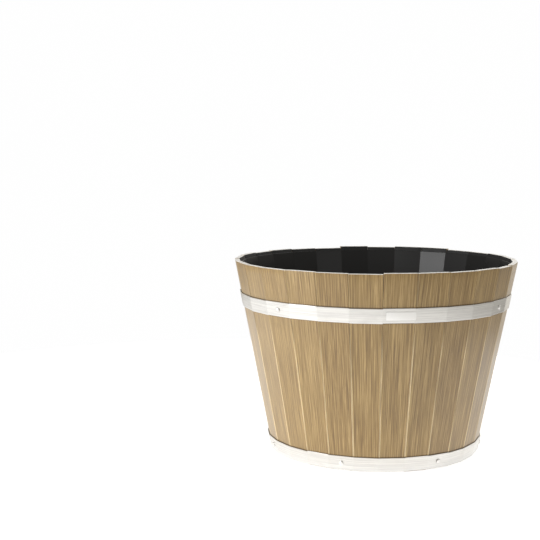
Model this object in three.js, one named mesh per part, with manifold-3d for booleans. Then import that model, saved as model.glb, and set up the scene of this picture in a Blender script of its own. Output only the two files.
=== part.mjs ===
// A barrel planter: tapered staves stand round a base board, two flat metal hoops hold them together,
// and a black liner pot stands inside. Millimetres, +Z up, origin at the middle of the foot.
// The front, which carries the blank label, faces -Y.
import * as THREE from "three";
import { mergeVertices } from "three/addons/utils/BufferGeometryUtils.js";
import Module from "manifold-3d";

// ---- Driving dimensions ----
const topDiameter = 400; // outside, over the stave corners at the rim
const footDiameter = 295; // outside, over the stave corners at the ground
const height = 269; // ground to the rim, before each stave's own trim

const staveCount = 28;
const staveThickness = 7; // square to the face
const staveJoint = 0.3; // open joint between neighbours
const arris = 0.8; // chamfer along both outer edges of a stave
// How far each stave's top end stands above or below the rim, going round from the front one.
const staveTrim = [
  0.6, 0.5, 0.0, 0.3, -0.5, 0.4, -0.2, 0.1, 0.3, -0.4, -0.4, 1.2, 1.2, 0.0,
  1.1, -1.3, -0.7, 0.2, -0.4, 0.5, 0.0, -0.6, 0.3, -0.1, -0.2, 0.2, -0.3, -0.7,
];

const fitGap = 0.3; // clearance wherever one piece seats on another

const baseThickness = 9;
const baseUnderside = 18; // height of the base board's underside above the ground
const crozeDepth = 3; // how far the base board reaches into the groove in the staves

const hoopWidth = 20; // along the slope of the wall
const hoopThickness = 1;
const upperHoopDrop = 44.5; // rim to the upper hoop's upper edge
const lowerHoopLift = 0.5; // lower edge of the lower hoop above the ground
const lapLength = 26; // how far a hoop's ends overlap
const lapRamp = 2.5; // length over which the outer end steps over the inner one
const lapRampLead = 0.5; // flat left between the ramp and the end that it steps over
const screwPitch = 4; // one hoop screw in every so many staves
const lapScrewSpacing = 15; // between the two screws of a lap
const upperLapTurn = 4; // which of the upper hoop's screwed staves carries its lap, the front one being 0
const lowerLapTurn = 1;
const lowerScrewOffset = 2; // the lower hoop's first screwed stave, counted round from the front one

const screwHeadRadius = 3;
const screwHeadHeight = 1.7;
const screwHeadRim = 0.6; // straight side of the head, below its dome
const domeSteps = 3; // facets from the head's edge to its flat top
const screwShankRadius = 1.45;
const screwLength = 7; // under the head
const screwPoint = 2; // length of its tapered tip
const recessLength = 3; // cross recess in the head
const recessWidth = 0.8;
const recessDepth = 0.9;
const pilotClearance = 0.15; // round the shank, in the stave
const pilotRunout = 0.5; // hole left beyond the tip
const screwSides = 12; // facets round a screw and its holes

const labelWidth = 38;
const labelHeight = 11;
const labelThickness = 0.4;
const labelShift = 2; // right of the middle of its stave

const linerWall = 1.5;
const linerFloor = 2;
const linerDrop = 4.5; // liner's edge below the rim
const drainHoles = 4; // round the one in the middle
const drainCircleRadius = 80;
const drainRadius = 6; // in the base board
const linerDrainRadius = 5;
const drainSides = 16; // facets round a drain hole
const overshoot = 1; // how far a cutter runs past the face that it opens

// ---- The wall ----
// The planter is a pyramid with one side to each stave, cut off at the ground and the rim.
const pitch = (2 * Math.PI) / staveCount;
const halfPitch = pitch / 2;
const footFlat = (footDiameter / 2) * Math.cos(halfPitch);
const topFlat = (topDiameter / 2) * Math.cos(halfPitch);
const lean = Math.atan((topFlat - footFlat) / height);

// Distance from the axis to the middle of a wall face at height z, for the face that lies
// `depth` inside the outer one, measured square to it.
function flatAt(z, depth = 0) {
  return footFlat + ((topFlat - footFlat) * z) / height - depth / Math.cos(lean);
}

// Width of a wall face at height z.
function faceWidth(z) {
  return 2 * flatAt(z) * Math.tan(halfPitch);
}

// Frame on the outside of the front stave at height z: x to the right, y into the planter,
// z up the slope of the wall. Turned about the axis for the other staves.
function wallFrame(z, stave = 0) {
  return new THREE.Matrix4()
    .makeRotationZ(stave * pitch)
    .multiply(new THREE.Matrix4().makeTranslation(0, -flatAt(z), z))
    .multiply(new THREE.Matrix4().makeRotationX(lean));
}

const hoopOuter = fitGap + hoopThickness; // outside of a hoop, out from the staves
const lapStep = hoopThickness + fitGap; // how far the outer end of a lap is lifted

// Heights of the hoops' middles.
const upperHoopHeight = height - upperHoopDrop - (hoopWidth / 2) * Math.cos(lean);
const lowerHoopHeight = lowerHoopLift + hoopOuter * Math.sin(lean) + (hoopWidth / 2) * Math.cos(lean);

// ---- Solids ----
const wasm = await Module();
wasm.setup();

function toSolid(geometry) {
  const bare = geometry.index ? geometry.toNonIndexed() : geometry.clone();
  bare.deleteAttribute("normal");
  bare.deleteAttribute("uv");
  const merged = mergeVertices(bare);
  return new wasm.Manifold(
    new wasm.Mesh({
      numProp: 3,
      vertProperties: merged.attributes.position.array,
      triVerts: new Uint32Array(merged.index.array),
    }),
  );
}

function toGeometry(solid) {
  const mesh = solid.getMesh();
  const geometry = new THREE.BufferGeometry()
    .setAttribute("position", new THREE.BufferAttribute(mesh.vertProperties, 3))
    .setIndex(new THREE.BufferAttribute(mesh.triVerts, 1))
    .toNonIndexed();
  geometry.computeVertexNormals();
  return geometry;
}

// Cuts each of the tools, given as geometries, from a geometry.
function cut(geometry, tools) {
  const solid = tools.reduce((left, tool) => left.subtract(toSolid(tool)), toSolid(geometry));
  return toGeometry(solid);
}

// A closed skin through rings of points, each ring counterclockwise as seen from the next one.
function loft(rings) {
  const count = rings[0].length;
  const last = (rings.length - 1) * count;
  const faces = [];
  for (let i = 1; i < count - 1; i++) {
    faces.push(0, i + 1, i, last, last + i, last + i + 1);
  }
  for (let r = 0; r < rings.length - 1; r++) {
    for (let i = 0; i < count; i++) {
      const a = r * count + i;
      const b = r * count + ((i + 1) % count);
      faces.push(a, b, b + count, a, b + count, a + count);
    }
  }
  const geometry = new THREE.BufferGeometry().setFromPoints(rings.flat()).setIndex(faces).toNonIndexed();
  geometry.computeVertexNormals();
  return geometry;
}

// A drum with one side to each stave, between two heights.
function facetedDrum(lowFlat, highFlat, lowZ, highZ) {
  const corner = Math.cos(halfPitch);
  return new THREE.CylinderGeometry(
    highFlat / corner, lowFlat / corner, highZ - lowZ, staveCount, 1, false, halfPitch,
  )
    .rotateX(Math.PI / 2)
    .translate(0, 0, (lowZ + highZ) / 2);
}

// A round cutter along y, from y = from to y = to.
function boreCutter(radius, from, to, sides) {
  return new THREE.CylinderGeometry(radius, radius, to - from, sides).translate(0, (from + to) / 2, 0);
}

// Round cutters for the drain holes, upright from lowZ to highZ: one in the middle, the rest round it.
function drainCutters(radius, lowZ, highZ) {
  const upright = boreCutter(radius, lowZ, highZ, drainSides).rotateX(Math.PI / 2);
  const ring = Array.from({ length: drainHoles }, (_, i) => {
    const angle = ((i + 0.5) * 2 * Math.PI) / drainHoles;
    return upright
      .clone()
      .translate(drainCircleRadius * Math.cos(angle), drainCircleRadius * Math.sin(angle), 0);
  });
  return [upright, ...ring];
}

// ---- Staves ----
// Level section of a stave: mitred sides, chamfered outer edges, in the front stave's place.
function staveSection(z) {
  const outer = flatAt(z);
  const inner = flatAt(z, staveThickness);
  const side = (flat) => flat * Math.tan(halfPitch) - staveJoint / 2 / Math.cos(halfPitch);
  const right = [
    [side(outer) - arris, -outer],
    [side(outer - arris), -(outer - arris)],
    [side(inner), -inner],
  ];
  const left = right.map(([x, y]) => [-x, y]).reverse();
  return [...right, ...left].map(([x, y]) => new THREE.Vector3(x, y, z));
}

// Groove in the inside of a stave that the edge of the base board stands in.
const baseFlat = flatAt(baseUnderside + baseThickness / 2, staveThickness) + crozeDepth;

function crozeCutter() {
  const reach = staveThickness + crozeDepth;
  return new THREE.BoxGeometry(2 * topFlat * Math.tan(halfPitch), reach, baseThickness + 2 * fitGap).translate(
    0,
    -(baseFlat + fitGap) + reach / 2,
    baseUnderside + baseThickness / 2,
  );
}

// Where a hoop's screws stand: a stave, a place across it, and how far out the head seats.
// The lap has two screws, and the front stave has none where the label covers the hoop.
function screwPlaces(firstStave, lapTurn, skipFirst) {
  const places = [];
  for (let turn = 0; firstStave + turn * screwPitch < staveCount; turn++) {
    const stave = firstStave + turn * screwPitch;
    if (turn === lapTurn) {
      const seat = hoopOuter + lapStep;
      places.push({ stave, across: -lapScrewSpacing / 2, seat });
      places.push({ stave, across: lapScrewSpacing / 2, seat });
    } else if (turn > 0 || !skipFirst) {
      places.push({ stave, across: 0, seat: hoopOuter });
    }
  }
  return places;
}

const hoops = [
  {
    name: "upper_hoop",
    z: upperHoopHeight,
    lapStave: upperLapTurn * screwPitch,
    screws: screwPlaces(0, upperLapTurn, true),
  },
  {
    name: "lower_hoop",
    z: lowerHoopHeight,
    lapStave: lowerScrewOffset + lowerLapTurn * screwPitch,
    screws: screwPlaces(lowerScrewOffset, lowerLapTurn, false),
  },
];

function pilotCutters(stave) {
  return hoops.flatMap(({ z, screws }) =>
    screws
      .filter((place) => place.stave === stave)
      .map(({ across, seat }) =>
        boreCutter(
          screwShankRadius + pilotClearance,
          -staveThickness,
          screwLength - seat - fitGap + pilotRunout,
          screwSides,
        )
          .translate(across, 0, 0)
          .applyMatrix4(wallFrame(z)),
      ),
  );
}

function staveGeometry(stave) {
  const top = height + staveTrim[stave % staveTrim.length];
  const board = loft([staveSection(0), staveSection(top)]);
  return cut(board, [crozeCutter(), ...pilotCutters(stave)]);
}

// ---- Hoops ----
// Section of the strip at a distance `run` round the wall from the middle of a stave's face, with
// its inner side lifted by `lift` from its seat. At a corner between staves the section is mitred.
function stripSection(z, stave, run, lift) {
  const side = faceWidth(z);
  const turn = Math.round(run / side);
  const across = run - turn * side;
  const atCorner = Math.abs(Math.abs(across) - side / 2) < 1e-6;
  const near = -(fitGap + lift);
  const far = near - hoopThickness;
  const half = hoopWidth / 2;
  const aboutAxis = new THREE.Matrix4().makeRotationZ((stave + turn) * pitch);
  return [
    [far, -half],
    [near, -half],
    [near, half],
    [far, half],
  ].map(([y, up]) => {
    const point = new THREE.Vector3(across, y, up).applyMatrix4(wallFrame(z));
    if (atCorner) {
      point.x = -point.y * Math.tan(halfPitch) * Math.sign(across);
    }
    return point.applyMatrix4(aboutAxis);
  });
}

// The strip starts on the lap's stave, goes right round, and ends on top of its own start.
function hoopGeometry({ z, lapStave, screws }) {
  const side = faceWidth(z);
  const start = -lapLength / 2;
  const end = staveCount * side + lapLength / 2;
  const rampEnd = end - lapLength - lapRampLead;
  const rampStart = rampEnd - lapRamp;
  const corners = Array.from({ length: staveCount + 2 }, (_, i) => (i - 0.5) * side);
  const stops = [start, ...corners, rampStart, rampEnd, end].filter((run) => run >= start && run <= end);
  const sections = stops
    .sort((a, b) => a - b)
    .map((run) => {
      const rise = THREE.MathUtils.clamp((run - rampStart) / lapRamp, 0, 1);
      return stripSection(z, lapStave, run, rise * lapStep);
    });
  const holes = screws.map(({ stave, across, seat }) =>
    boreCutter(screwShankRadius + fitGap, -(seat + fitGap), 0, screwSides)
      .translate(across, 0, 0)
      .applyMatrix4(wallFrame(z, stave)),
  );
  return cut(loft(sections), holes);
}

// ---- Hoop screws ----
// Pan head with a cross recess, turned about y, with its tip towards +y and its head's seat at y = 0.
function screwGeometry() {
  const domeHeight = screwHeadHeight - screwHeadRim;
  const dome = Array.from({ length: domeSteps }, (_, i) => {
    const angle = (i * Math.PI) / 2 / domeSteps;
    return new THREE.Vector2(
      screwHeadRadius * Math.cos(angle),
      -screwHeadRim - domeHeight * Math.sin(angle),
    );
  });
  const profile = [
    new THREE.Vector2(0, -screwHeadHeight),
    ...dome.reverse(),
    new THREE.Vector2(screwHeadRadius, 0),
    new THREE.Vector2(screwShankRadius, 0),
    new THREE.Vector2(screwShankRadius, screwLength - screwPoint),
    new THREE.Vector2(0, screwLength),
  ];
  const body = new THREE.LatheGeometry(profile, screwSides);
  const slot = new THREE.BoxGeometry(recessLength, 2 * recessDepth, recessWidth).translate(
    0,
    -screwHeadHeight,
    0,
  );
  return cut(body, [slot, slot.clone().rotateY(Math.PI / 2)]);
}

// ---- Base board, liner and label ----
function baseGeometry() {
  const top = baseUnderside + baseThickness;
  const board = facetedDrum(baseFlat, baseFlat, baseUnderside, top);
  return cut(board, drainCutters(drainRadius, baseUnderside - overshoot, top + overshoot));
}

function linerGeometry() {
  const low = baseUnderside + baseThickness + fitGap;
  const high = height - linerDrop;
  const outside = staveThickness + fitGap;
  const inside = outside + linerWall;
  const floor = low + linerFloor;
  const pot = facetedDrum(flatAt(low, outside), flatAt(high, outside), low, high);
  const hollow = facetedDrum(flatAt(floor, inside), flatAt(high + overshoot, inside), floor, high + overshoot);
  return cut(pot, [hollow, ...drainCutters(linerDrainRadius, low - overshoot, floor + overshoot)]);
}

function labelGeometry() {
  return new THREE.BoxGeometry(labelWidth, labelThickness, labelHeight).translate(
    labelShift,
    -(hoopOuter + fitGap + labelThickness / 2),
    0,
  );
}

// ---- Assembly ----
const finishes = {
  stave: new THREE.MeshStandardMaterial({ color: 0xa28a62, roughness: 0.6, metalness: 0 }),
  hoop: new THREE.MeshStandardMaterial({ color: 0xd6d6d2, roughness: 0.35, metalness: 1 }),
  screw: new THREE.MeshStandardMaterial({ color: 0xb9b9b6, roughness: 0.3, metalness: 1 }),
  base: new THREE.MeshStandardMaterial({ color: 0x6e5a3f, roughness: 0.7, metalness: 0 }),
  liner: new THREE.MeshStandardMaterial({ color: 0x1b1b1c, roughness: 0.35, metalness: 0 }),
  label: new THREE.MeshStandardMaterial({ color: 0xf4f4f2, roughness: 0.4, metalness: 0 }),
};

const planter = new THREE.Group();

function add(name, geometry, finish, matrix = new THREE.Matrix4()) {
  const mesh = new THREE.Mesh(geometry, finish);
  mesh.name = name;
  mesh.applyMatrix4(matrix);
  planter.add(mesh);
}

for (let stave = 0; stave < staveCount; stave++) {
  const turn = new THREE.Matrix4().makeRotationZ(stave * pitch);
  add(`stave_${String(stave + 1).padStart(2, "0")}`, staveGeometry(stave), finishes.stave, turn);
}

add("base_board", baseGeometry(), finishes.base);
add("liner", linerGeometry(), finishes.liner);

const screw = screwGeometry();
for (const hoop of hoops) {
  add(hoop.name, hoopGeometry(hoop), finishes.hoop);
  hoop.screws.forEach(({ stave, across, seat }, i) => {
    const place = wallFrame(hoop.z, stave).multiply(
      new THREE.Matrix4().makeTranslation(across, -(seat + fitGap), 0),
    );
    add(`${hoop.name}_screw_${i + 1}`, screw, finishes.screw, place);
  });
}

add("blank_label", labelGeometry(), finishes.label, wallFrame(upperHoopHeight));

export default planter;
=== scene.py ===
"""The looks of a barrel planter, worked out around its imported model.

Lengths are in metres. The planter stands on z = 0 with its axis on +Z, and its front stave faces -Y.
An angle round the axis is counted from that stave, positive towards +X. On the wall, a place is given by
how far it lies across a stave's face from its middle, out from the face, and up its slope from the ground.
"""

import math

import bpy
import numpy as np
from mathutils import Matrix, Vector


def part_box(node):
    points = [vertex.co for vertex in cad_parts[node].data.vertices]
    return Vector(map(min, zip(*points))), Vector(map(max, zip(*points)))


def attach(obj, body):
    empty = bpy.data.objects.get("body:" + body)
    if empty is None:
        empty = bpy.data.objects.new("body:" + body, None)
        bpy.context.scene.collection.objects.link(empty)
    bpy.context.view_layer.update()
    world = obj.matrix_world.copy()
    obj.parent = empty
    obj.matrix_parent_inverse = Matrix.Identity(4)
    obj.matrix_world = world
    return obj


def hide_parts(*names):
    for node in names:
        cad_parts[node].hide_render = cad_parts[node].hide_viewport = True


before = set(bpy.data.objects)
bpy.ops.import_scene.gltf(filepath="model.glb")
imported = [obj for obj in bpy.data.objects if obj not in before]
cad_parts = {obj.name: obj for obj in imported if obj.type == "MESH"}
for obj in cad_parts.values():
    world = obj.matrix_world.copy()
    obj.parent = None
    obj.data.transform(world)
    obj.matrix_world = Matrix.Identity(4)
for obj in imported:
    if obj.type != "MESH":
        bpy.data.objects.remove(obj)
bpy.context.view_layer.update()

MM = 0.001

# ---- Sizes of the planter ----
TOP_RADIUS = 200 * MM  # outside, over the stave corners at the rim
FOOT_RADIUS = 147.5 * MM
HEIGHT = 269 * MM
STAVE_THICKNESS = 7 * MM
STAVE_JOINT = 0.3 * MM
FIT_GAP = 0.3 * MM  # wherever one piece seats on another
BASE_THICKNESS = 9 * MM
BASE_UNDERSIDE = 18 * MM
CROZE_DEPTH = 3 * MM
HOOP_WIDTH = 20 * MM
HOOP_THICKNESS = 1 * MM
LAP_LENGTH = 26 * MM
LAP_RAMP = 2.5 * MM
LAP_RAMP_LEAD = 0.5 * MM
HEAD_RADIUS = 3 * MM
HEAD_HEIGHT = 1.7 * MM
HEAD_RIM = 0.6 * MM
SHANK_RADIUS = 1.45 * MM
SCREW_LENGTH = 7 * MM  # under the head
SCREW_POINT = 2 * MM
RECESS_LENGTH = 3 * MM
RECESS_WIDTH = 0.8 * MM
RECESS_DEPTH = 0.9 * MM
PILOT_CLEARANCE = 0.15 * MM
PILOT_RUNOUT = 0.5 * MM
LINER_WALL = 1.5 * MM
LINER_FLOOR = 2 * MM
DRAIN_HOLES = 4  # round the one in the middle
DRAIN_CIRCLE_RADIUS = 80 * MM
DRAIN_RADIUS = 6 * MM
LINER_DRAIN_RADIUS = 5 * MM

STAVES = sorted(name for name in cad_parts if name.startswith("stave_"))
PITCH = 2 * math.pi / len(STAVES)
HALF_PITCH = PITCH / 2
FOOT_FLAT = FOOT_RADIUS * math.cos(HALF_PITCH)
SLOPE = (TOP_RADIUS - FOOT_RADIUS) * math.cos(HALF_PITCH) / HEIGHT
LEAN = math.atan(SLOPE)
WALL_DEPTH = STAVE_THICKNESS / math.cos(LEAN)  # level thickness of a stave
LAP_STEP = HOOP_THICKNESS + FIT_GAP

# ---- What the finishes add ----
SETBACK = 0.30 * MM  # how far the deepest stave's face lies behind its place
TWIST = 0.15 * MM  # how far a stave's ends differ in that
ARRIS = 0.85 * MM  # rounding of a stave's outer edges
INNER_ARRIS = 0.35 * MM
END_ARRIS = 0.30 * MM
CROWN = 0.06 * MM  # rise of a stave's face from its edges to its middle
STRIP_EDGE = 0.32 * MM  # rounding of a hoop's edges
STRIP_BEND = 6 * MM  # rounding of a hoop where it bends from stave to stave
STRIP_WAVE = 0.16 * MM  # how far a hoop's line wanders up and down
THREAD_PITCH = 1.1 * MM
THREAD_HEIGHT = 0.12 * MM
THREAD_STOP = 0.4 * MM  # how far under the head's seat the thread stops
RECESS_TAPER = 0.75  # width of the recess at its bottom, as a share of its width at the top
HOLE_LAND = 3 * MM  # margin of the middle drain holes, outside which the rings are faceted
BOARD_EDGE = 0.8 * MM
BOARD_BEND = 2 * MM  # rounding of the base board's corners
POT_BEND = 3 * MM  # rounding of the liner's upright corners
POT_FLOOR_BEND = 4 * MM  # rounding inside, between its wall and its floor
POT_RIM = 0.5 * MM
LABEL_CORNER = 1.0 * MM
LABEL_EDGE = 0.12 * MM

# ---- Camera ----
CAMERA_TURN = math.radians(-9.76)  # where the camera stands, round the planter
CAMERA_REACH = 1.5792  # from the planter's axis
CAMERA_HEIGHT = 0.4222
CAMERA_PAN = -0.0758  # radians round from +Y
CAMERA_TILT = -0.1074  # radians up from level
CAMERA_LENS = 73.85  # in Blender's millimetres, as the sensor's width is
SENSOR = 36

# ---- Studio ----
BACKDROP_RADIUS = 6.0
BACKDROP_RISE = 0.499 * math.pi  # its dome stops just short of its poles
FLOOR_RADIUS = 0.80
FLOOR_MIDDLE = (-0.20, 0.10, 0.0)
FLOOR_GLOW = 0.60  # light of the floor's own, which keeps it white
ROOM_TINT = (1.0, 0.955, 0.87, 1.0)
ROOM_RADIANCE = 0.41
WALL_RADIANCE = 1.2  # of the white wall behind the planter
WALL_TURN = 162  # its heading, in degrees
WALL_EDGE = (0.88, 0.97)  # cosine of the angle off its heading where it starts, and where it is full
PANELS = [  # name, heading in degrees, reach, height, size, radiance
    ("panel_key", -67, 1.8, 0.60, (0.55, 1.0), 11.2),
    ("panel_front", -10, 2.2, 1.20, (0.90, 0.7), 0.5),
    ("panel_right", 40, 1.9, 0.75, (0.60, 0.6), 1.3),
    ("panel_rear", 125, 1.2, 1.30, (0.90, 0.9), 2.6),
]


# ---- Places on the wall ----
def flat_at(z):
    """Distance from the axis to the middle of a stave's face: the foot's, plus the slope times z."""
    return FOOT_FLAT + SLOPE * np.asarray(z, float)


def heading(angle):
    """Level unit vectors that point out from the axis: (sin a, -cos a, 0)."""
    angle = np.asarray(angle, float)
    return np.stack([np.sin(angle), -np.cos(angle), np.zeros_like(angle)], -1)


def turned(points, angle):
    """Points turned about the axis: x' = x cos a - y sin a and y' = x sin a + y cos a."""
    x, y, z = np.moveaxis(np.asarray(points, float), -1, 0)
    cos, sin = math.cos(angle), math.sin(angle)
    return np.stack([cos * x - sin * y, sin * x + cos * y, z], -1)


def on_wall(across, out, up, stave=0):
    """Points of a stave by their places on it. Out leans down by the wall's lean, and up leans out by it."""
    level = FOOT_FLAT + out * math.cos(LEAN) + up * math.sin(LEAN)
    z = up * math.cos(LEAN) - out * math.sin(LEAN)
    return turned(np.stack(np.broadcast_arrays(across, -level, z), -1), stave * PITCH)


def off_wall(points, stave=0):
    """The places on a stave of some points: on_wall turned back."""
    x, y, z = turned(points, -stave * PITCH).T
    level = -y - FOOT_FLAT
    out = level * math.cos(LEAN) - z * math.sin(LEAN)
    up = level * math.sin(LEAN) + z * math.cos(LEAN)
    return np.stack([x, out, up], -1)


def nearest_stave(point):
    """Number of the stave whose heading is nearest to a point's."""
    return round(math.atan2(point[0], -point[1]) / PITCH) % len(STAVES)


def mesh_points(mesh):
    points = np.empty(len(mesh.vertices) * 3)
    mesh.vertices.foreach_get("co", points)
    return points.reshape(-1, 3)


def node_on_wall(name):
    """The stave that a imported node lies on, and its lowest and highest places there."""
    points = mesh_points(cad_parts[name].data)
    stave = nearest_stave((points.min(0) + points.max(0)) / 2)
    places = off_wall(points, stave)
    return stave, places.min(0), places.max(0)


class Screw:
    """Where a packed screw stands: its stave, its place across and up the stave, and its head's seat."""

    def __init__(self, node):
        self.node = node
        self.stave, low, high = node_on_wall(node)
        self.across, self.up = (low[0] + high[0]) / 2, (low[2] + high[2]) / 2
        self.seat = high[1] - HEAD_HEIGHT

    def point(self, out):
        """The point of its axis so far out from the stave's face."""
        return on_wall(self.across, out, self.up, self.stave)


SCREWS = [Screw(name) for name in sorted(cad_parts) if "_screw_" in name]
HOOP_MIDDLES = sorted({round(screw.up * math.cos(LEAN), 4) for screw in SCREWS})


# ---- Meshes ----
def solid(name, grid, wrap_rows=False):
    """A closed mesh from a grid of points (rows, columns, 3) whose columns close on themselves.
    Its first and last rows are capped, or joined where the rows close on themselves too."""
    rows, columns = grid.shape[:2]
    index = np.arange(rows * columns).reshape(rows, columns)
    ahead = np.roll(index, -1, 1)
    quads = np.stack([index, ahead, np.roll(ahead, -1, 0), np.roll(index, -1, 0)], -1)
    faces = (quads if wrap_rows else quads[:-1]).reshape(-1, 4).tolist()
    if not wrap_rows:
        faces += [index[0, ::-1].tolist(), index[-1].tolist()]
    mesh = bpy.data.meshes.new(name)
    mesh.from_pydata(grid.reshape(-1, 3).tolist(), [], faces)
    piece = bpy.data.objects.new(name, mesh)
    bpy.context.scene.collection.objects.link(piece)
    return piece


def smooth(piece, angle=40):
    """Smooth shading that keeps edges sharper than the angle in degrees."""
    piece.data.shade_smooth()
    piece.data.set_sharp_from_angle(angle=math.radians(angle))


def bar(radius, start, end, sides=32):
    """A round bar: a circle of the radius, carried from one point to another."""
    start, end = np.asarray(start, float), np.asarray(end, float)
    along = (end - start) / np.linalg.norm(end - start)
    side = np.cross(along, [0.3, 0.2, 1.0] if abs(along[2]) < 0.9 else [1.0, 0.0, 0.0])
    side /= np.linalg.norm(side)
    turn = np.linspace(0, 2 * math.pi, sides, endpoint=False)[:, None]
    circle = radius * (np.cos(turn) * side + np.sin(turn) * np.cross(along, side))
    return solid("cutter", np.stack([start + circle, end + circle]))


def cut(piece, cutters):
    """Cuts the cutters out of a piece and removes them."""
    for cutter in cutters:
        modifier = piece.modifiers.new("cut", "BOOLEAN")
        modifier.operation = "DIFFERENCE"
        modifier.solver = "EXACT"
        modifier.object = cutter
    graph = bpy.context.evaluated_depsgraph_get()
    made = bpy.data.meshes.new_from_object(piece.evaluated_get(graph), depsgraph=graph)
    piece.modifiers.clear()
    piece.data = made
    for cutter in cutters:
        bpy.data.meshes.remove(cutter.data)


def drain_cutters(radius, low, high):
    """Bars through the holes that stand evenly round the drain circle."""
    turns = (np.arange(DRAIN_HOLES) + 0.5) * 2 * math.pi / DRAIN_HOLES
    ring = DRAIN_CIRCLE_RADIUS * np.stack([np.cos(turns), np.sin(turns)], -1)
    return [bar(radius, (x, y, low - MM), (x, y, high + MM)) for x, y in ring]


def quarter(steps):
    """Angles of a quarter turn."""
    return np.linspace(0, math.pi / 2, steps + 1)


def store(piece, name, values):
    """Keeps a number or a vector for each point of a mesh, for its finish to read."""
    values = np.asarray(values, np.float32)
    kind, key = ("FLOAT", "value") if values.ndim == 1 else ("FLOAT_VECTOR", "vector")
    piece.data.attributes.new(name, kind, "POINT").data.foreach_set(key, values.ravel())


def install(piece, node, finish):
    """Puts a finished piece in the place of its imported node."""
    piece.data.materials.clear()
    piece.data.materials.append(finish)
    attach(piece, "root")
    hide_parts(node)


def outline_stops(flat, bend):
    """Distances round a faceted outline, from the middle of the front side, at which it has points:
    four on each side and five on the bend after it."""
    side = 2 * flat * math.tan(HALF_PITCH)
    half_bend = bend * math.tan(HALF_PITCH)
    on_side = (side / 2 - half_bend) * np.array([-0.94, -0.4, 0.4, 0.94])
    on_bend = side / 2 + half_bend * np.linspace(-1, 1, 5)
    one = np.concatenate([on_side, on_bend])
    return (np.arange(len(STAVES))[:, None] * side + one).ravel()


def outline_path(run, flat, bend):
    """Level points and headings at distances round a regular outline whose sides lie flat from the
    axis. Near a corner the path follows a circle of radius bend that touches both sides."""
    side = 2 * flat * math.tan(HALF_PITCH)
    straight = side / 2 - bend * math.tan(HALF_PITCH)
    turn = np.round(run / side)
    across = run - turn * side
    beyond = np.clip((np.abs(across) - straight) / (side / 2 - straight), 0, 1)
    angle = beyond * HALF_PITCH
    reach = np.where(beyond > 0, straight + bend * np.sin(angle), np.abs(across))
    point = heading(turn * PITCH) * (flat - bend * (1 - np.cos(angle)))[:, None]
    point = point + heading(turn * PITCH + math.pi / 2) * (np.sign(across) * reach)[:, None]
    return point, turn * PITCH + np.sign(across) * angle


def ring(flat, z, bend):
    """One row of points round a faceted outline at a height."""
    bend = min(bend, flat)
    points, _ = outline_path(outline_stops(flat, bend), flat, bend)
    points[:, 2] = z
    return points


# ---- Finishes ----
class Value:
    """A shader's socket. Arithmetic on it adds Math nodes."""

    def __init__(self, finish, socket):
        self.finish, self.socket = finish, socket

    def math(self, operation, *values):
        return self.finish.node("ShaderNodeMath", {"operation": operation}, dict(enumerate(values)))

    def __add__(self, other):
        return self.math("ADD", self, other)

    def __sub__(self, other):
        return self.math("SUBTRACT", self, other)

    def __rsub__(self, other):
        return self.math("SUBTRACT", other, self)

    def __mul__(self, other):
        return self.math("MULTIPLY", self, other)

    def __abs__(self):
        return self.math("ABSOLUTE", self)

    __radd__, __rmul__ = __add__, __mul__

    def rise(self, low, high):
        """0 up to low and 1 from high, smooth between."""
        inputs = {"Value": self, "From Min": low, "From Max": high}
        return self.finish.node("ShaderNodeMapRange", {"interpolation_type": "SMOOTHSTEP"}, inputs)

    def fall(self, low, high):
        """1 up to low and 0 from high, smooth between."""
        return 1 - self.rise(low, high)


class Finish:
    """A material, built node by node."""

    def __init__(self, name):
        self.material = bpy.data.materials.new(name)
        self.material.use_nodes = True
        self.tree = self.material.node_tree
        self.tree.nodes.clear()

    def node(self, kind, settings=None, inputs=None, output=0):
        """Adds a node: its settings first, then its sockets' values or links. Gives one output."""
        made = self.tree.nodes.new(kind)
        for name, setting in (settings or {}).items():
            setattr(made, name, setting)
        for name, given in (inputs or {}).items():
            if isinstance(given, Value):
                self.tree.links.new(given.socket, made.inputs[name])
            else:
                made.inputs[name].default_value = given
        return Value(self, made.outputs[output] if made.outputs else None)

    def stored(self, name, output="Fac"):
        """What the piece's points keep under a name."""
        return self.node("ShaderNodeAttribute", {"attribute_name": name}, output=output)

    def place(self):
        return self.node("ShaderNodeTexCoord", output="Object")

    def parts(self, vector):
        """The three numbers of a vector."""
        split = self.node("ShaderNodeSeparateXYZ", inputs={0: vector}).socket.node
        return [Value(self, socket) for socket in split.outputs]

    def noise(self, vector, waves, detail=2.0, roughness=0.5, distortion=0.0):
        """Soft noise from 0 to 1, with so many waves to the metre each way."""
        scaled = self.node("ShaderNodeVectorMath", {"operation": "MULTIPLY"}, {0: vector, 1: waves})
        inputs = {"Vector": scaled, "Scale": 1.0, "Detail": detail}
        inputs |= {"Roughness": roughness, "Distortion": distortion}
        return self.node("ShaderNodeTexNoise", inputs=inputs)

    def blend(self, factor, first, second):
        """A colour between two others."""
        inputs = {0: factor, 6: first, 7: second}
        return self.node("ShaderNodeMix", {"data_type": "RGBA"}, inputs, output=2)

    def bump(self, height, distance, strength):
        inputs = {"Height": height, "Distance": distance, "Strength": strength}
        return self.node("ShaderNodeBump", inputs=inputs)

    def finish(self, **inputs):
        """Ends the material in a Principled shader with these sockets."""
        named = {name.replace("_", " "): given for name, given in inputs.items()}
        shader = self.node("ShaderNodeBsdfPrincipled", inputs=named)
        self.node("ShaderNodeOutputMaterial", inputs={"Surface": shader})
        return self.material


def colour(red, green, blue):
    """A linear colour from the 0 to 255 values of a paint chart."""
    chart = np.array([red, green, blue]) / 255
    linear = np.where(chart <= 0.04045, chart / 12.92, ((chart + 0.055) / 1.055) ** 2.4)
    return (*linear.tolist(), 1.0)


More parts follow.
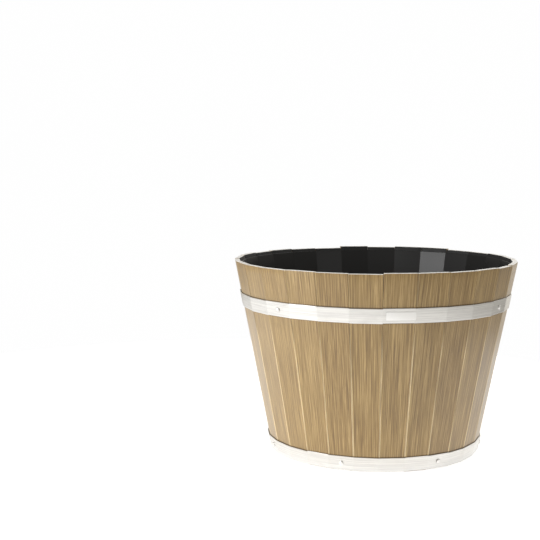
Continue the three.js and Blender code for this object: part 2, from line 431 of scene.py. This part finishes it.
def stave_finish():
    """Light brown oak with fine upright grain, paler worn edges, pale cut ends, black paint inside, and a
    painted shadow along the hoops' edges.
    """
    wood = Finish("stave_oak")
    grain = wood.stored("grain", "Vector")
    side, depth, below_top = wood.parts(wood.stored("edges", "Vector"))
    tone = wood.stored("tone")

    streaks = wood.noise(grain, (320, 320, 6), 3, 0.6, 0.4)
    fibres = wood.noise(grain, (900, 900, 16), 2, 0.6)
    pores = wood.noise(grain, (1500, 1500, 90), 2, 0.5)
    pale = fibres.rise(0.50, 0.64)
    dark = fibres.fall(0.36, 0.48)
    pore = pores.rise(0.58, 0.72)

    body = wood.blend(tone, colour(144, 116, 67), colour(152, 124, 73))
    body = wood.blend(streaks.fall(0.34, 0.52) * 0.22, body, colour(122, 94, 50))
    body = wood.blend(streaks.rise(0.56, 0.70) * 0.15, body, colour(178, 150, 96))
    body = wood.blend(pale * 0.60, body, colour(195, 166, 112))
    body = wood.blend(dark * 0.60, body, colour(102, 75, 36))
    body = wood.blend(pore * 0.35, body, colour(84, 60, 26))

    wear = wood.noise(grain, (45, 45, 8), 2, 0.6).rise(0.24, 0.50)
    lower = below_top.rise(70 * MM, 115 * MM) * 0.75 + 0.25
    arris = side.fall(0.55 * MM, 1.15 * MM) * wear * lower
    body = wood.blend(arris * 0.95, body, colour(240, 220, 178))
    body = wood.blend(below_top.fall(0.05 * MM, 0.35 * MM), body, colour(248, 248, 248))
    paint = depth.rise(WALL_DEPTH - 0.40 * MM, WALL_DEPTH - 0.25 * MM)
    height = wood.parts(wood.place())[2]
    off_hoops = [abs(height - middle) - HOOP_WIDTH / 2 * math.cos(LEAN) for middle in HOOP_MIDDLES]
    # Painted shadow: the wood is darkened in a thin line along each hoop's upper and lower edge, where the
    # hoop shades it.
    painted_hoop_shadow = sum(off.fall(0.3 * MM, 1.5 * MM) for off in off_hoops)
    body = wood.blend(painted_hoop_shadow * 0.55, body, colour(70, 50, 28))
    body = wood.blend(paint, body, colour(20, 20, 21))

    return wood.finish(
        Base_Color=body,
        Roughness=0.40 + 0.12 * fibres + 0.15 * paint,
        Coat_Weight=0.8 - 0.8 * paint,
        Coat_Roughness=0.32,
        Normal=wood.bump((fibres + streaks - pore) * (1 - paint), 0.08 * MM, 0.6),
    )


def hoop_finish():
    """Bright metal strip, brushed along its length, with slight smears."""
    metal = Finish("hoop_strip")
    place = metal.place()
    brush = metal.noise(place, (9, 9, 1500), 4, 0.65)
    smear = metal.noise(place, (30, 30, 60), 3, 0.6)
    body = metal.blend(brush.rise(0.35, 0.65), colour(211, 210, 208), colour(236, 235, 232))
    body = metal.blend(smear.rise(0.50, 0.80) * 0.3, body, colour(196, 195, 192))
    return metal.finish(
        Base_Color=body,
        Metallic=1.0,
        Roughness=0.22 + 0.12 * brush + 0.10 * smear,
        Normal=metal.bump(brush + smear, 0.03 * MM, 0.5),
    )


def screw_finish():
    """Plated steel, with painted shade down in the recess."""
    steel = Finish("screw_plated")
    spots = steel.noise(steel.place(), (900, 900, 900), 2, 0.5)
    recess_shade = steel.stored("recess")
    body = steel.blend(spots, colour(232, 231, 229), colour(246, 245, 243))
    # Painted shade: the recess is coloured dark grey where shade falls into it.
    body = steel.blend(recess_shade, body, colour(112, 111, 109))
    return steel.finish(Base_Color=body, Metallic=1.0, Roughness=0.42 + 0.12 * spots + 0.20 * recess_shade)


def base_finish():
    """Plain board with its grain running from side to side."""
    board = Finish("base_pine")
    place = board.place()
    streaks = board.noise(place, (7, 170, 170), 3, 0.6, 0.5)
    fibres = board.noise(place, (22, 900, 900), 3, 0.6)
    body = board.blend(streaks.rise(0.3, 0.7), colour(132, 106, 72), colour(170, 143, 104))
    body = board.blend(fibres.rise(0.5, 0.75) * 0.5, body, colour(196, 170, 128))
    normal = board.bump(streaks + fibres, 0.12 * MM, 0.6)
    return board.finish(Base_Color=body, Roughness=0.62 + 0.12 * fibres, Normal=normal)


def liner_finish():
    """Black moulded plastic with a fine satin texture."""
    plastic = Finish("liner_black")
    place = plastic.place()
    grit = plastic.noise(place, (1400, 1400, 1400), 2, 0.6)
    cloud = plastic.noise(place, (16, 16, 9), 3, 0.55)
    return plastic.finish(
        Base_Color=plastic.blend(cloud, colour(11, 11, 12), colour(20, 20, 22)),
        Roughness=0.26 + 0.10 * cloud + 0.06 * grit,
        Specular_IOR_Level=0.34,
        Normal=plastic.bump(grit, 0.02 * MM, 0.4),
    )


def label_finish():
    """Blank white plate with a clear gloss film."""
    plate = Finish("label_blank")
    grit = plate.noise(plate.place(), (700, 700, 700), 2, 0.5)
    return plate.finish(
        Base_Color=plate.blend(grit, colour(247, 247, 246), colour(253, 253, 252)),
        Roughness=0.26 + 0.08 * grit,
        Specular_IOR_Level=0.9,
        Coat_Weight=1.0,
        Coat_Roughness=0.2,
        Normal=plate.bump(grit, 0.01 * MM, 0.3),
    )


# ---- Staves ----
def stave_profile():
    """A level section of a stave, from the left of its face round to the left side again: the share of
    its half width, the inset from its side, and the depth behind its face. Its edges are quarter circles."""
    face = np.array([-1, -0.94, -0.5, 0, 0.5, 0.94, 1])
    outer, inner = quarter(4)[1:], quarter(3)
    side_inset = np.concatenate([ARRIS * (1 - np.sin(outer)), INNER_ARRIS * (1 - np.cos(inner))])
    outer_depth = CROWN + ARRIS * (1 - np.cos(outer))
    inner_depth = WALL_DEPTH - INNER_ARRIS * (1 - np.sin(inner))
    side_depth = np.concatenate([outer_depth, inner_depth])
    back = np.array([0.5, 0, -0.5])
    ones = np.ones(side_inset.size)
    share = np.concatenate([face, ones, back, -ones])
    inset = np.concatenate([0 * face + ARRIS, side_inset, 0 * back + INNER_ARRIS, side_inset[::-1]])
    depth = np.concatenate([CROWN * face**2, side_depth, 0 * back + WALL_DEPTH, side_depth[::-1]])
    return share, inset, depth


def stave_rows(top):
    """Heights of a stave's sections, how far each is drawn in to round the ends, and whether it lies in
    the groove for the base board."""
    low, high = BASE_UNDERSIDE - FIT_GAP, BASE_UNDERSIDE + BASE_THICKNESS + FIT_GAP
    lip = 0.02 * MM
    rise, drawn = END_ARRIS * (1 - np.cos(quarter(3))), END_ARRIS * (1 - np.sin(quarter(3)))
    groove = np.array([low - lip, low + lip, high - lip, high + lip])
    body = np.linspace(high + 10 * MM, top - 10 * MM, 12)
    heights = np.concatenate([rise, groove, body, top - rise[::-1]])
    drawn = np.concatenate([drawn, np.zeros(groove.size + body.size), drawn[::-1]])
    return heights[:, None], drawn[:, None], ((heights > low) & (heights < high))[:, None]


def make_stave(number, node, finish, rng):
    """A stave: its level section carried up the wall. At height z a point of it lies
    share * (half width - inset) across, and its depth behind the wall's outer plane."""
    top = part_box(node)[1].z
    share, inset, depth = stave_profile()
    heights, drawn, grooved = stave_rows(top)
    wall = flat_at(heights)
    tilt = TWIST * rng.uniform(-1, 1) * (heights / HEIGHT - 0.5)
    face = np.clip(SETBACK * rng.random() + tilt, 0, None) + drawn
    board_flat = flat_at(BASE_UNDERSIDE + BASE_THICKNESS / 2) - WALL_DEPTH + CROZE_DEPTH
    behind = depth > WALL_DEPTH / 2
    back = np.where(grooved, wall - board_flat - FIT_GAP, depth - drawn)
    level = np.where(behind, back, face + depth)
    half = (wall - level) * math.tan(HALF_PITCH) - STAVE_JOINT / 2 / math.cos(HALF_PITCH)
    across = share * (half - inset - drawn)
    points = np.stack(np.broadcast_arrays(across, level - wall, heights), -1)
    piece = solid(f"{node}_board", turned(points, number * PITCH))
    own = [screw for screw in SCREWS if screw.stave == number]
    if own:
        reach = PILOT_RUNOUT + SCREW_LENGTH
        cut(piece, [bar(SHANK_RADIUS + PILOT_CLEARANCE, s.point(s.seat - reach), s.point(MM)) for s in own])
    smooth(piece)

    x, y, z = turned(mesh_points(piece.data), -number * PITCH).T
    behind = y + flat_at(z)
    half = flat_at(z) * math.tan(HALF_PITCH)
    side = rng.choice([-1, 1])
    store(piece, "grain", np.stack([side * x, behind, z], -1) + rng.uniform(-3, 3, 3))
    store(piece, "edges", np.stack([half - np.abs(x), behind, top - z], -1))
    store(piece, "tone", np.full(x.size, rng.random()))
    install(piece, node, finish)


# ---- Hoops ----
def strip_profile():
    """Section of a hoop, down its outside and up its inside: a flat bar with quarter-circle edges.
    Out is counted from its inner face, up from its middle."""
    turn, half = quarter(3), HOOP_WIDTH / 2
    outer_out = HOOP_THICKNESS - STRIP_EDGE * (1 - np.cos(turn))
    outer_up = half - STRIP_EDGE * (1 - np.sin(turn))
    inner_out = STRIP_EDGE * (1 - np.sin(turn))
    inner_up = half - STRIP_EDGE * (1 - np.cos(turn))
    hold = np.array([0.9, -0.9]) * half
    upper_out = np.concatenate([inner_out[::-1], outer_out[::-1]])
    upper_up = np.concatenate([inner_up[::-1], outer_up[::-1]])
    out = np.concatenate([0 * hold, upper_out, 0 * hold + HOOP_THICKNESS, upper_out[::-1]])
    up = np.concatenate([-hold, upper_up, hold, -upper_up[::-1]])
    return out, up


def make_hoop(node, finish, seed):
    """A hoop: its section carried round the wall and a lap further, where it steps up on its own start.
    Its line wanders up and down by a few sines of the angle."""
    screws = [screw for screw in SCREWS if screw.node.startswith(node)]
    lap = max(screws, key=lambda screw: screw.seat).stave  # a head seats highest where the strip is doubled
    middle = screws[0].up * math.cos(LEAN)
    flat = float(flat_at(middle))
    girth = len(STAVES) * 2 * flat * math.tan(HALF_PITCH)
    start, end = -LAP_LENGTH / 2, girth + LAP_LENGTH / 2
    ramp_start = end - LAP_LENGTH - LAP_RAMP_LEAD - LAP_RAMP
    ramp = ramp_start + LAP_RAMP * np.linspace(0, 1, 7)
    stops = outline_stops(flat, STRIP_BEND)
    run = np.unique(np.concatenate([[start, end], stops, stops - girth, stops + girth, ramp]))
    run = run[(run >= start) & (run <= end)]
    rise = np.clip((run - ramp_start) / LAP_RAMP, 0, 1)
    lift = LAP_STEP * rise**2 * (3 - 2 * rise)
    path, normal = outline_path(run, flat, STRIP_BEND)
    wander = STRIP_WAVE * sum(np.sin(n * normal + seed * n) for n in (3, 8, 13, 21))
    out, up = strip_profile()
    out = FIT_GAP + lift[:, None] + out
    up = wander[:, None] + up
    level = out * math.cos(LEAN) + up * math.sin(LEAN)
    points = path[:, None] + level[..., None] * heading(normal)[:, None]
    points[..., 2] = middle + up * math.cos(LEAN) - out * math.sin(LEAN)
    piece = solid(f"{node}_strip", turned(points, lap * PITCH))
    cut(piece, [bar(SHANK_RADIUS + FIT_GAP, s.point(-0.1 * MM), s.point(s.seat)) for s in screws])
    smooth(piece)
    install(piece, node, finish)


# ---- Screws ----
def screw_profile():
    """Radius and height along a screw, from its tip to the top of its head, with the head's seat at 0.
    The dome is part of an ellipse, and the thread is put on afterwards."""
    shank = np.linspace(-SCREW_LENGTH, -0.05 * MM, 70)
    taper = np.clip((shank + SCREW_LENGTH) / SCREW_POINT, 0.03, 1)
    dome = quarter(10)
    edge = 0.12 * MM
    under = np.array([SHANK_RADIUS * 1.4, HEAD_RADIUS - edge, HEAD_RADIUS])
    radius = np.concatenate([SHANK_RADIUS * taper, under, HEAD_RADIUS * np.cos(dome[:-1]), [0.05 * MM]])
    head = HEAD_RIM + (HEAD_HEIGHT - HEAD_RIM) * np.sin(dome)
    return radius, np.concatenate([shank, [0, 0, edge], head])


def make_screw(screw, finish):
    """A screw: its profile turned about its axis, with a thread that is a ridge along a helix, and a
    cross cut into its head by two cutters that widen upwards."""
    radius, height = screw_profile()
    turn = np.linspace(0, 2 * math.pi, 36, endpoint=False)
    phase = height[:, None] / THREAD_PITCH - turn / (2 * math.pi)
    ridge = np.clip(1 - 3 * np.abs(phase - np.round(phase)), 0, 1)
    threaded = ((height < -THREAD_STOP) & (radius > 0.3 * MM))[:, None]
    reach = radius[:, None] - np.where(threaded, THREAD_HEIGHT * (1 - ridge), 0)
    across, up = screw.across + reach * np.cos(turn), screw.up - reach * np.sin(turn)
    piece = solid(f"{screw.node}_threaded", on_wall(across, screw.seat + height[:, None], up, screw.stave))
    for long, wide in ((RECESS_LENGTH, RECESS_WIDTH), (RECESS_WIDTH, RECESS_LENGTH)):
        corners = np.array([[-1, 1, 1, -1], [1, 1, -1, -1]])[:, None] / 2
        out = screw.seat + HEAD_HEIGHT + np.array([[-RECESS_DEPTH], [0.2 * MM]])
        spread = np.array([[RECESS_TAPER], [1.05]])
        across, up = screw.across + corners[0] * long * spread, screw.up + corners[1] * wide * spread
        cut(piece, [solid("cutter", on_wall(across, out, up, screw.stave))])
    smooth(piece, 32)
    across, out, up = off_wall(mesh_points(piece.data), screw.stave).T
    off_axis = np.hypot(across - screw.across, up - screw.up)
    share = np.sqrt(np.clip(1 - (off_axis / HEAD_RADIUS) ** 2, 0, 1))
    dome = screw.seat + HEAD_RIM + (HEAD_HEIGHT - HEAD_RIM) * share
    # Points down in the cross recess, kept for the finish to paint dark as shade.
    recess_shade = (dome - out > 0.3 * MM) & (out > screw.seat + 0.2 * MM) & (off_axis < RECESS_LENGTH)
    store(piece, "recess", recess_shade)
    install(piece, screw.node, finish)


# ---- Base board, liner and label ----
def make_base_board(finish):
    """The base board: rings from the middle hole out along its underside, up its edge and back."""
    low, high = BASE_UNDERSIDE, BASE_UNDERSIDE + BASE_THICKNESS
    flat = float(flat_at((low + high) / 2)) - WALL_DEPTH + CROZE_DEPTH
    turn = quarter(3)
    reach = np.array([DRAIN_RADIUS, DRAIN_RADIUS + HOLE_LAND, flat - 3 * MM])
    reach = np.concatenate([reach, flat - BOARD_EDGE * (1 - np.sin(turn))])
    height = np.concatenate([[low, low, low], low + BOARD_EDGE * (1 - np.cos(turn))])
    reach = np.concatenate([reach, reach[::-1]])
    height = np.concatenate([height, low + high - height[::-1]])
    rows = [ring(r, z, BOARD_BEND if r > DRAIN_RADIUS + HOLE_LAND else r) for r, z in zip(reach, height)]
    piece = solid("base_board_drilled", np.stack(rows), True)
    cut(piece, drain_cutters(DRAIN_RADIUS, low, high))
    smooth(piece)
    install(piece, "base_board", finish)


def pot_profile(low, top):
    """Reach and height round the liner's wall: from the middle hole out along the underside, up the outside,
    over the rim, down the inside and along the floor to the hole again. Its bends are quarter circles."""
    floor = low + LINER_FLOOR
    outside = (STAVE_THICKNESS + FIT_GAP) / math.cos(LEAN)
    inside = outside + LINER_WALL / math.cos(LEAN)
    foot, hollow = flat_at(low) - outside, flat_at(floor) - inside
    bend, foot_turn, rim_turn = POT_FLOOR_BEND + LINER_FLOOR, quarter(5), quarter(3)
    foot_in, foot_up = bend * (1 - np.sin(foot_turn)), bend * (1 - np.cos(foot_turn))
    hollow_in, hollow_up = POT_FLOOR_BEND * (1 - np.cos(foot_turn)), POT_FLOOR_BEND * (1 - np.sin(foot_turn))
    rim_near, rim_far = POT_RIM * (1 - np.cos(rim_turn)), POT_RIM * (1 - np.sin(rim_turn))
    outer_z = np.linspace(low + bend, top - POT_RIM, 10)[1:-1]
    inner_z = np.linspace(top - POT_RIM, floor + POT_FLOOR_BEND, 10)[1:-1]
    land = np.array([LINER_DRAIN_RADIUS, LINER_DRAIN_RADIUS + HOLE_LAND, foot / 2])
    stretches = [
        (land, low + 0 * land),
        (foot - foot_in + SLOPE * foot_up, low + foot_up),
        (flat_at(outer_z) - outside, outer_z),
        (flat_at(top) - outside - rim_near, top - rim_far),
        (flat_at(top) - inside + rim_far, top - rim_near),
        (flat_at(inner_z) - inside, inner_z),
        (hollow - hollow_in + SLOPE * hollow_up, floor + hollow_up),
        (land[::-1], floor + 0 * land),
    ]
    return np.concatenate(stretches, 1)


def make_liner(finish):
    """The liner pot: its profile carried round the faceted outline."""
    low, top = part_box("liner")[0].z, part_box("liner")[1].z
    floor = low + LINER_FLOOR
    reach, height = pot_profile(low, top)
    rows = [ring(r, z, POT_BEND if r > LINER_DRAIN_RADIUS + HOLE_LAND else r) for r, z in zip(reach, height)]
    piece = solid("liner_pot", np.stack(rows), True)
    cut(piece, drain_cutters(LINER_DRAIN_RADIUS, low, floor))
    smooth(piece)
    install(piece, "liner", finish)


def make_label(finish):
    """The blank plate: a rectangle with quarter-circle corners, carried through its thickness and drawn
    in at its front edge by another quarter circle."""
    stave, low, high = node_on_wall("blank_label")
    middle, half = (low + high) / 2, (high - low) / 2
    turn = np.linspace(0, 2 * math.pi, 24, endpoint=False) + math.pi / 24
    corner = np.stack([np.cos(turn), np.sin(turn)])
    front = quarter(3)
    drawn = np.concatenate([[0], LABEL_EDGE * (1 - np.cos(front))])[:, None]
    out = np.concatenate([[low[1]], high[1] - LABEL_EDGE * (1 - np.sin(front))])[:, None]
    across = np.sign(corner[0]) * (half[0] - LABEL_CORNER) + corner[0] * (LABEL_CORNER - drawn)
    up = np.sign(corner[1]) * (half[2] - LABEL_CORNER) + corner[1] * (LABEL_CORNER - drawn)
    piece = solid("blank_label_plate", on_wall(middle[0] + across, out, middle[2] + up, stave))
    smooth(piece)
    install(piece, "blank_label", finish)


# ---- Studio ----
def aim(thing, place, target):
    """Puts a camera or light at a place, looking at a target."""
    away = np.asarray(place, float) - np.asarray(target, float)
    thing.location = place
    thing.rotation_euler = (math.acos(away[2] / np.linalg.norm(away)), 0, math.atan2(away[0], -away[1]))


def add_light(name, turn, reach, height, size, radiance):
    """A soft light panel at a heading round the planter, facing its middle. Its power is its radiance
    times pi times its area."""
    light = bpy.data.lights.new(name, "AREA")
    light.shape = "RECTANGLE"
    light.size, light.size_y = size
    light.energy = radiance * math.pi * size[0] * size[1]
    lamp = bpy.data.objects.new(name, light)
    bpy.context.scene.collection.objects.link(lamp)
    place = heading(math.radians(turn)) * reach
    place[2] = height
    aim(lamp, place, (0, 0, HEIGHT / 2))


def make_backdrop():
    """A white dome round the studio that only the camera sees: rows of circles from pole to pole."""
    rise = np.linspace(-1, 1, 17) * BACKDROP_RISE
    turn = np.linspace(0, 2 * math.pi, 32, endpoint=False)
    dome = BACKDROP_RADIUS * np.cos(rise)[:, None, None] * heading(turn)
    dome[..., 2] = BACKDROP_RADIUS * np.sin(rise)[:, None]
    backdrop = solid("backdrop", dome)
    paper = Finish("backdrop_paper")
    tint = paper.noise(paper.place(), (0.5, 0.5, 0.5), 2, 0.5)
    white = paper.blend(tint, colour(255, 255, 255), colour(254, 254, 254))
    backdrop.data.materials.append(
        paper.finish(
            Base_Color=colour(0, 0, 0),
            Emission_Color=white,
            Emission_Strength=1.0,
            Specular_IOR_Level=0.0,
        )
    )
    backdrop.visible_diffuse = backdrop.visible_glossy = backdrop.visible_transmission = False
    backdrop.visible_shadow = False


def make_floor():
    """A round white table top."""
    turn = np.linspace(0, 2 * math.pi, 96, endpoint=False)
    top = FLOOR_RADIUS * heading(turn) + FLOOR_MIDDLE
    floor = solid("floor", np.stack([top - [0, 0, 10 * MM], top]))
    paper = Finish("floor_paper")
    tint = paper.noise(paper.place(), (2, 2, 2), 2, 0.5)
    white = paper.blend(tint, colour(250, 250, 250), colour(253, 253, 253))
    lit = paper.finish(Base_Color=white, Roughness=0.9, Emission_Color=white, Emission_Strength=FLOOR_GLOW)
    floor.data.materials.append(lit)


def make_room():
    """The room's own light: even, and brighter behind the planter, where a white wall stands."""
    room = bpy.data.worlds.new("studio")
    room.use_nodes = True
    tree = room.node_tree
    facing = tree.nodes.new("ShaderNodeVectorMath")
    facing.operation = "DOT_PRODUCT"
    facing.inputs[1].default_value = heading(math.radians(WALL_TURN))
    tree.links.new(tree.nodes.new("ShaderNodeTexCoord").outputs["Generated"], facing.inputs[0])
    wall = tree.nodes.new("ShaderNodeMapRange")
    wall.interpolation_type = "SMOOTHSTEP"
    names = ("From Min", "From Max", "To Min", "To Max")
    for name, number in zip(names, (*WALL_EDGE, ROOM_RADIANCE, WALL_RADIANCE)):
        wall.inputs[name].default_value = number
    tree.links.new(facing.outputs["Value"], wall.inputs["Value"])
    tree.links.new(wall.outputs[0], tree.nodes["Background"].inputs["Strength"])
    tree.nodes["Background"].inputs["Color"].default_value = ROOM_TINT
    return room


def make_studio():
    """A white table under soft panels in a grey room, with the camera where the photograph's stands."""
    scene = bpy.context.scene
    scene.view_settings.view_transform = "Standard"
    scene.world = make_room()
    make_backdrop()
    make_floor()
    for panel in PANELS:
        add_light(*panel)

    camera = bpy.data.objects.new("camera", bpy.data.cameras.new("camera"))
    scene.collection.objects.link(camera)
    camera.data.sensor_width = SENSOR
    camera.data.lens = CAMERA_LENS
    camera.location = heading(CAMERA_TURN) * CAMERA_REACH
    camera.location.z = CAMERA_HEIGHT
    camera.rotation_euler = (math.pi / 2 + CAMERA_TILT, 0, CAMERA_PAN)
    scene.camera = camera


make_studio()
rng = np.random.default_rng(28)
stave_wood = stave_finish()
for number, node in enumerate(STAVES):
    make_stave(number, node, stave_wood, rng)
strip_metal = hoop_finish()
make_hoop("upper_hoop", strip_metal, 1.3)
make_hoop("lower_hoop", strip_metal, 2.1)
screw_steel = screw_finish()
for screw in SCREWS:
    make_screw(screw, screw_steel)
make_base_board(base_finish())
make_liner(liner_finish())
make_label(label_finish())
